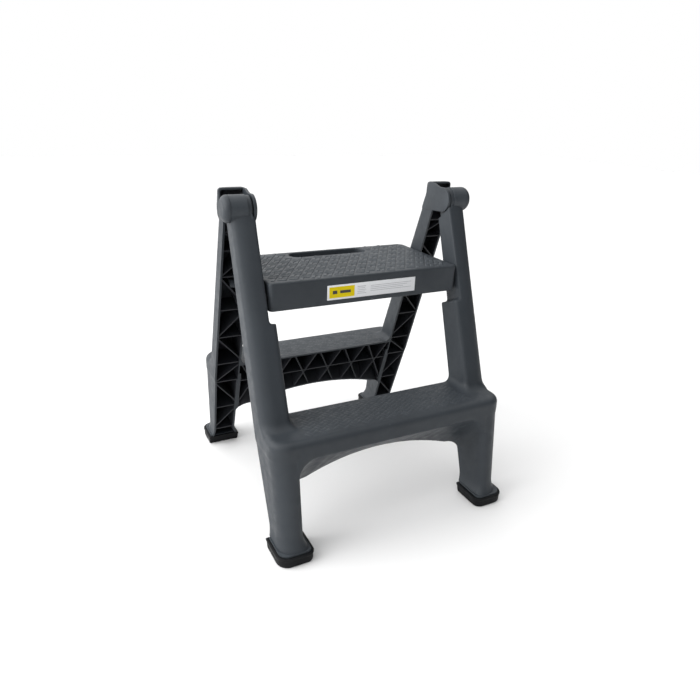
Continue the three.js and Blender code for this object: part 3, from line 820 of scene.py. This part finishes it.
def weave(x_range, y_range, base_z, keep, cell, height):
    """Cells of two bars, each cell turned a quarter from its neighbours, on a slanting grid."""
    vertices, faces = [], []
    reach = int((x_range[1] - x_range[0] + y_range[1] - y_range[0]) / cell)
    diagonal = math.radians(58)
    c, s = math.cos(diagonal), math.sin(diagonal)
    for i in range(-reach, reach + 1):
        for j in range(-reach, reach + 1):
            along = (i + j) % 2
            for offset in (-0.25, 0.25):
                u = (i + (0 if along else offset)) * cell
                v = (j + (offset if along else 0)) * cell
                x, y = u * c - v * s, u * s + v * c
                y += (y_range[0] + y_range[1]) / 2
                if not (x_range[0] < x < x_range[1] and y_range[0] < y < y_range[1] and keep(x, y)):
                    continue
                angle = diagonal + (0 if along else math.pi / 2)
                start = len(vertices)
                bar_vertices, bar_faces = bar((x, y), angle, cell * 0.86, cell * 0.32, base_z, height)
                vertices += bar_vertices
                faces += [tuple(start + n for n in face) for face in bar_faces]
    return solid(vertices, faces)


# ---- Pieces ----

def moulding(extra=()):
    """One frame: skin, hollow, ribs, the plugs inside its boots, and the tread pattern."""
    body = outside(extra)
    # The ribs and the hollow get the darker plastic: painted shade inside the moulding
    bars = paint(lattice(body), PAINTED_SHADE_LOOK)
    cut(body, paint(hollow(), PAINTED_SHADE_LOOK))
    join(body, bars)
    plug = cut(boot_plug(FIT_GAP), behind_open_plane(BOOT_WALL + FIT_GAP))
    join(body, pair(plug))
    tread_x, tread_y = (-176, 176), (open_edge_y(STEP_TOP_Z) + 8, STEP_FACE_Y - 20)
    join(body, weave(tread_x, tread_y, STEP_TOP_Z, lambda x, y: True, cell=15, height=0.35))
    return body


def rear_frame():
    """The moulding with hinge brackets, and ears that turn inside the front rails."""
    bracket = pair(bracket_solid(0))
    body = moulding([bracket])
    room = pair(rod_x(KNUCKLE_RADIUS + SWING_GAP, (EAR_X[1], CAP_END_X + 4), (HINGE_Y, HINGE_Z)))
    hole = pair(rod_x(PIN_RADIUS + FIT_GAP, (EAR_X[0] + 2, EAR_X[1] + 1), (HINGE_Y, HINGE_Z)))
    # The inside of the brackets gets the darker plastic: painted shade
    cut(body, paint(pair(bracket_solid(WALL - 0.5)), PAINTED_SHADE_LOOK))
    join(body, pair(ear()))
    cut(body, room, hole)
    return side_pin_seat(body, REST_PIN)


def front_frame():
    """The moulding turned to face forward, with pockets for the ears and with knuckles."""
    body = flip(moulding(), 1)
    centre = (HINGE_Y, HINGE_Z)
    pocket_x = (EAR_X[0] - 30, COLLAR_START_X)
    lining = ear_sweep(4, (COLLAR_START_X, COLLAR_START_X + 3))
    rail = flip(rail_solid(0, 0), 1)
    combine(lining, rail, "INTERSECT")
    join(body, pair(lining))
    cut(body, pair(ear_sweep(SWING_GAP, pocket_x)))
    knuckle = lathe_x([(COLLAR_RADIUS - 1, COLLAR_START_X), (COLLAR_RADIUS, COLLAR_START_X + 1),
                       (COLLAR_RADIUS, KNUCKLE_X[0]), (KNUCKLE_RADIUS - 0.6, KNUCKLE_X[0]),
                       (KNUCKLE_RADIUS, KNUCKLE_X[0] + 0.8), (KNUCKLE_RADIUS, KNUCKLE_X[1])], centre, 96)
    join(body, pair(knuckle))
    cut(body, pair(rod_x(PIN_RADIUS + FIT_GAP, (COLLAR_START_X - 1, KNUCKLE_X[1] + 1), centre)))
    cut(body, pair(rod_x(SPIGOT_RADIUS, (KNUCKLE_X[1] - SPIGOT_DEPTH, KNUCKLE_X[1] + 1), centre)))
    return side_pin_seat(body, PLATFORM_PIVOT)


def rounded_ring(z, x, y, radii):
    """A rectangle in plan with its own radius at each corner, from far right round to near right."""
    ring = []
    corners = ((x[1], y[1], -1, -1), (x[0], y[1], 1, -1), (x[0], y[0], 1, 1), (x[1], y[0], -1, 1))
    for quarter, (cx, cy, in_x, in_y) in enumerate(corners):
        for i in range(9):
            angle = (quarter + i / 8) * math.pi / 2
            radius = radii[quarter]
            ring.append((cx + radius * (in_x + math.cos(angle)), cy + radius * (in_y + math.sin(angle)), z))
    return ring


def boot_ring(z, inset):
    radii = [max(1.0, radius - inset) for radius in (22, 15, 5, 5)]
    x = (BOOT_X[0] + inset, BOOT_X[1] - inset)
    return rounded_ring(z, x, (BOOT_Y[0] + inset, BOOT_Y[1] - inset), radii)


def boot_plug(gap):
    """The foot of a leg inside its boot, smaller all round by a gap."""
    inset = BOOT_WALL + gap
    return loft([boot_ring(BOOT_WALL + gap, inset), boot_ring(BOOT_HEIGHT + 3, inset)])


def boot():
    """A rubber shoe with a rounded sole and a raised lip round its top edge."""
    levels = [(0, 3), (0.8, 1.2), (2.6, 0.2), (4, 0), (14.5, 0), (15.3, -0.9), (16.2, -1.2), (18.8, -1.2),
              (19.6, -0.6), (20, 0.4)]
    shoe = loft([boot_ring(z, inset) for z, inset in levels])
    inside = cut(boot_plug(0), behind_open_plane(BOOT_WALL))
    return cut(shoe, inside, behind_open_plane(-0.5))


def platform_ring(z, inset):
    radii = [max(1.0, radius - inset) for radius in (16, 16, 8, 8)]
    x = (-PLATFORM_HALF_X + inset, PLATFORM_HALF_X - inset)
    return rounded_ring(z, x, (PLATFORM_Y[0] + inset, PLATFORM_Y[1] - inset), radii)


def slot_ring(z, grow):
    radius = (SLOT_Y[1] - SLOT_Y[0]) / 2
    centre_y = (SLOT_Y[1] + SLOT_Y[0]) / 2
    ring = []
    for side, start in ((1, -math.pi / 2), (-1, math.pi / 2)):
        centre = (side * (SLOT_HALF_X - radius), centre_y)
        ring += [(x, y, z) for x, y in circle(centre, radius + grow, 20, start, math.pi)]
    return ring


def platform_ribs():
    """Ribs under the tread, in front of the slot."""
    z = (PLATFORM_TOP_Z - 20, PLATFORM_TOP_Z - 2)
    halfway = (PLATFORM_Y[0] + SLOT_Y[0]) / 2
    across = box((2 - PLATFORM_HALF_X, PLATFORM_HALF_X - 2), (halfway - RIB_HALF, halfway + RIB_HALF), z)
    for x in (-100, 0, 100):
        join(across, box((x - RIB_HALF, x + RIB_HALF), (PLATFORM_Y[0] + 2, SLOT_Y[0]), z))
    return across


def rest_notch():
    """Where the platform sits on a rest pin: round above, open below and wider towards the front."""
    y, z = REST_PIN
    radius = SIDE_PIN_RADIUS + FIT_GAP
    outline = circle(REST_PIN, radius, 24, 0.0, math.pi) + [(y - 24, z - 24), (y + radius, z - 24)]
    return extrude_x(outline, (PLATFORM_HALF_X - 14, PLATFORM_HALF_X + 2))


def top_platform():
    """The upper tread: an open box with rolled edges, a slot, ribs, pivots, notches and tread pattern."""
    bottom, top = PLATFORM_BOTTOM_Z, PLATFORM_TOP_Z
    edge = 4.0
    rings = [platform_ring(bottom, 0.8), platform_ring(bottom + 0.8, 0)]
    for angle in [math.radians(a) for a in range(0, 91, 15)]:
        z = top - edge * (1 - math.sin(angle))
        rings.append(platform_ring(z, edge * (1 - math.cos(angle))))
    body = loft(rings)
    inside = loft([platform_ring(bottom - 1, WALL), platform_ring(top - WALL, WALL)])
    # The inside of the tread and its ribs get the darker plastic: painted shade
    cut(body, paint(inside, PAINTED_SHADE_LOOK))
    skirt_ribs = paint(platform_ribs(), PAINTED_SHADE_LOOK)
    wall = loft([slot_ring(bottom + 12, 3), slot_ring(top - 1, 3)])
    pivot_boss = pair(rod_x(11, (PLATFORM_HALF_X - 16, PLATFORM_HALF_X - 1), PLATFORM_PIVOT))
    pad_x, pad_y = (PLATFORM_HALF_X - 12, PLATFORM_HALF_X - 1), (REST_PIN[0] - 14, REST_PIN[0] + 14)
    notch_pad = pair(box(pad_x, pad_y, (bottom + 1, top - 2)))
    join(body, skirt_ribs, wall, pivot_boss, notch_pad)
    lip = [(bottom - 5, 0), (top - 3, 0), (top - 2.1, 0.25), (top - 0.9, 0.9), (top - 0.25, 2.1), (top, 3),
           (top + 5, 8)]
    hole_x = (PLATFORM_HALF_X - 14, PLATFORM_HALF_X + 1)
    pivot_hole = pair(rod_x(SIDE_PIN_RADIUS + FIT_GAP, hole_x, PLATFORM_PIVOT))

    def clear_of_slot(x, y):
        reach = SLOT_HALF_X + 8
        return abs(x) > reach or not SLOT_Y[0] - 9 < y < SLOT_Y[1] + 9

    weave_y = (PLATFORM_Y[0] + 12, PLATFORM_Y[1] - 10)
    weave_x = (12 - PLATFORM_HALF_X, PLATFORM_HALF_X - 12)
    join(body, weave(weave_x, weave_y, top, clear_of_slot, cell=19, height=1.0))
    return cut(body, loft([slot_ring(z, grow) for z, grow in lip]), pivot_hole, pair(rest_notch()))


def hinge_cap():
    """A domed cap whose spigot fits the hole in the knuckle."""
    centre = (HINGE_Y, HINGE_Z)
    spigot, seat_x = SPIGOT_RADIUS - FIT_GAP, KNUCKLE_X[1] + FIT_GAP
    chamfer = 0.4
    profile = [(spigot, seat_x - SPIGOT_DEPTH), (spigot, seat_x), (KNUCKLE_RADIUS - chamfer, seat_x),
               (KNUCKLE_RADIUS, seat_x + chamfer)]
    for angle in [math.radians(a) for a in range(0, 91, 9)]:
        radius = KNUCKLE_RADIUS - CAP_ROUND * (1 - math.cos(angle))
        profile.append((radius, CAP_END_X - CAP_ROUND * (1 - math.sin(angle))))
    return lathe_x(profile, centre, 96)


def ring_x(outer, inner, x, centre):
    """A washer or spacer with chamfered edges."""
    chamfer = 0.3
    washer = lathe_x([(outer - chamfer, x[0]), (outer, x[0] + chamfer), (outer, x[1] - chamfer),
                      (outer - chamfer, x[1])], centre)
    return cut(washer, rod_x(inner, (x[0] - 1, x[1] + 1), centre))


def pin_x(radius, x, centre):
    """A pin with chamfered ends."""
    chamfer = 0.6
    return lathe_x([(radius - chamfer, x[0]), (radius, x[0] + chamfer), (radius, x[1] - chamfer),
                    (radius - chamfer, x[1])], centre, 48)


def card(x, z, lift, thickness):
    """A flat patch of print that lies at a given lift off the skirt."""
    y = PLATFORM_Y[0] - lift
    return box(x, (y - thickness, y), z)


def add_label():
    """A film on the front skirt, with a yellow panel and plain bars in place of words."""
    top, bottom = PLATFORM_TOP_Z - 14, PLATFORM_TOP_Z - 42
    lift, panel_film, ink = 0.9, 0.12, 0.08
    base = box((-88, 101), (PLATFORM_Y[0] - lift, PLATFORM_Y[0] - 0.3), (bottom, top))
    bevelled(base, width=0.15, segments=2)
    finish_piece(base, "skirt_label_film", "platform", ["skirt_label"], FILM_BASE)
    panel = card((-84, -32), (bottom + 3.5, top - 3.5), lift, panel_film)
    finish_piece(panel, "skirt_label_panel", "platform", [], FILM_YELLOW)
    mark = card((-62, -40), (bottom + 11.5, bottom + 17), lift + panel_film, ink)
    join(mark, card((-77, -68), (bottom + 11, bottom + 17.5), lift + panel_film, ink))
    finish_piece(mark, "skirt_label_mark", "platform", [], FILM_DARK)
    lines = card((-26, -8), (top - 8, top - 6.6), lift, ink)
    for row in range(4):
        z = top - 11 - 3.4 * row
        join(lines, card((-26, -10 + 3 * (row % 2)), (z, z + 1), lift, ink))
        join(lines, card((2, 92 - 9 * (row % 3)), (z + 2.6, z + 3.6), lift, ink))
    finish_piece(lines, "skirt_label_lines", "platform", [], FILM_INK)


def add_sides(obj, stem, body, material):
    """The piece on the right and its mirror image on the left."""
    other = mirrored(obj, 0)
    for side, piece in (("right", obj), ("left", other)):
        finish_piece(piece, f"{stem}_{side}_look", body, [f"{stem}_{side}"], material)


def add_pieces():
    hinge = (HINGE_Y, HINGE_Z)
    finish_piece(front_frame(), "front_frame_look", "front", ["front_frame"])
    finish_piece(rear_frame(), "rear_frame_look", "rear", ["rear_frame"])
    finish_piece(top_platform(), "top_platform_look", "platform", ["top_platform"])
    rear_boot = boot()
    front_boot = mirrored(rear_boot, 1)
    add_sides(rear_boot, "rear_boot", "rear", RUBBER)
    add_sides(front_boot, "front_boot", "front", RUBBER)
    add_sides(hinge_cap(), "hinge_cap", "front", PLASTIC)
    add_sides(pin_x(PIN_RADIUS, span("hinge_pin_right", 0), hinge), "hinge_pin", "front", STEEL)
    washer = ring_x(16, PIN_RADIUS + FIT_GAP, span("hinge_washer_right", 0), hinge)
    add_sides(washer, "hinge_washer", "front", NYLON)
    side_pin_x, spacer_x = span("platform_pin_right", 0), span("platform_spacer_right", 0)
    add_sides(pin_x(SIDE_PIN_RADIUS, side_pin_x, PLATFORM_PIVOT), "platform_pin", "front", STEEL)
    spacer = ring_x(9, SIDE_PIN_RADIUS + FIT_GAP, spacer_x, PLATFORM_PIVOT)
    add_sides(spacer, "platform_spacer", "front", NYLON)
    add_sides(pin_x(SIDE_PIN_RADIUS, side_pin_x, REST_PIN), "rest_pin", "rear", STEEL)
    add_label()


# ---- Camera, light and floor, in metres ----

def add_camera():
    """From the front left and a little above, rolled so that uprights lean slightly to the right."""
    place, direction = (-0.5389, -1.0488, 0.7617), (0.4318, 0.8191, -0.3778)
    roll = math.radians(2.1)
    data = bpy.data.cameras.new("camera")
    data.sensor_width = 36
    data.lens = 30.89
    camera = bpy.data.objects.new("camera", data)
    bpy.context.scene.collection.objects.link(camera)
    forward = Vector(direction).normalized()
    right = forward.cross(Vector((0, 0, 1))).normalized()
    up = right.cross(forward)
    rolled_right = right * math.cos(roll) + up * math.sin(roll)
    rolled_up = up * math.cos(roll) - right * math.sin(roll)
    placed = Matrix((rolled_right, rolled_up, -forward)).transposed().to_4x4()
    placed.translation = place
    camera.matrix_world = placed
    bpy.context.scene.camera = camera


def add_light(name, place, aim, size, power):
    data = bpy.data.lights.new(name, "AREA")
    data.size = size
    data.energy = power
    light = bpy.data.objects.new(name, data)
    light.location = place
    light.rotation_euler = (Vector(aim) - Vector(place)).to_track_quat("-Z", "Y").to_euler()
    bpy.context.scene.collection.objects.link(light)


def add_world():
    """A studio whose light comes mostly from above, behind and the left, and that looks white all round."""
    world = bpy.data.worlds.new("studio")
    world.use_nodes = True
    tree = world.node_tree
    light = tree.nodes["Background"]
    light.inputs["Color"].default_value = (1, 1, 1, 1)
    towards = tree.nodes.new("ShaderNodeVectorMath")
    towards.operation = "DOT_PRODUCT"
    towards.inputs[1].default_value = Vector((-0.62, 0.45, 0.7)).normalized()
    strength = tree.nodes.new("ShaderNodeMapRange")
    for name, number in (("From Min", -0.35), ("From Max", 1.0), ("To Min", 0.05), ("To Max", 2.15)):
        strength.inputs[name].default_value = number
    seen = tree.nodes.new("ShaderNodeBackground")
    seen.inputs["Color"].default_value = (1, 1, 1, 1)
    chosen = tree.nodes.new("ShaderNodeMixShader")
    tree.links.new(tree.nodes.new("ShaderNodeTexCoord").outputs["Generated"], towards.inputs[0])
    tree.links.new(towards.outputs["Value"], strength.inputs["Value"])
    tree.links.new(strength.outputs["Result"], light.inputs["Strength"])
    tree.links.new(tree.nodes.new("ShaderNodeLightPath").outputs["Is Camera Ray"], chosen.inputs["Fac"])
    tree.links.new(light.outputs["Background"], chosen.inputs[1])
    tree.links.new(seen.outputs["Background"], chosen.inputs[2])
    tree.links.new(chosen.outputs["Shader"], tree.nodes["World Output"].inputs["Surface"])
    bpy.context.scene.world = world


def add_room():
    add_world()
    add_light("key", (-2.1, 0.15, 1.5), (0, 0, 0.3), 1.8, 40)
    bm = bmesh.new()
    bmesh.ops.create_grid(bm, x_segments=1, y_segments=1, size=8)
    floor = object_from("floor", bm)
    material = new_material("floor", (0.82, 0.82, 0.82), 0.8, 0.2)[0]
    floor.data.materials.append(material)
    bpy.context.scene.view_settings.view_transform = "Standard"


add_pieces()
add_camera()
add_room()
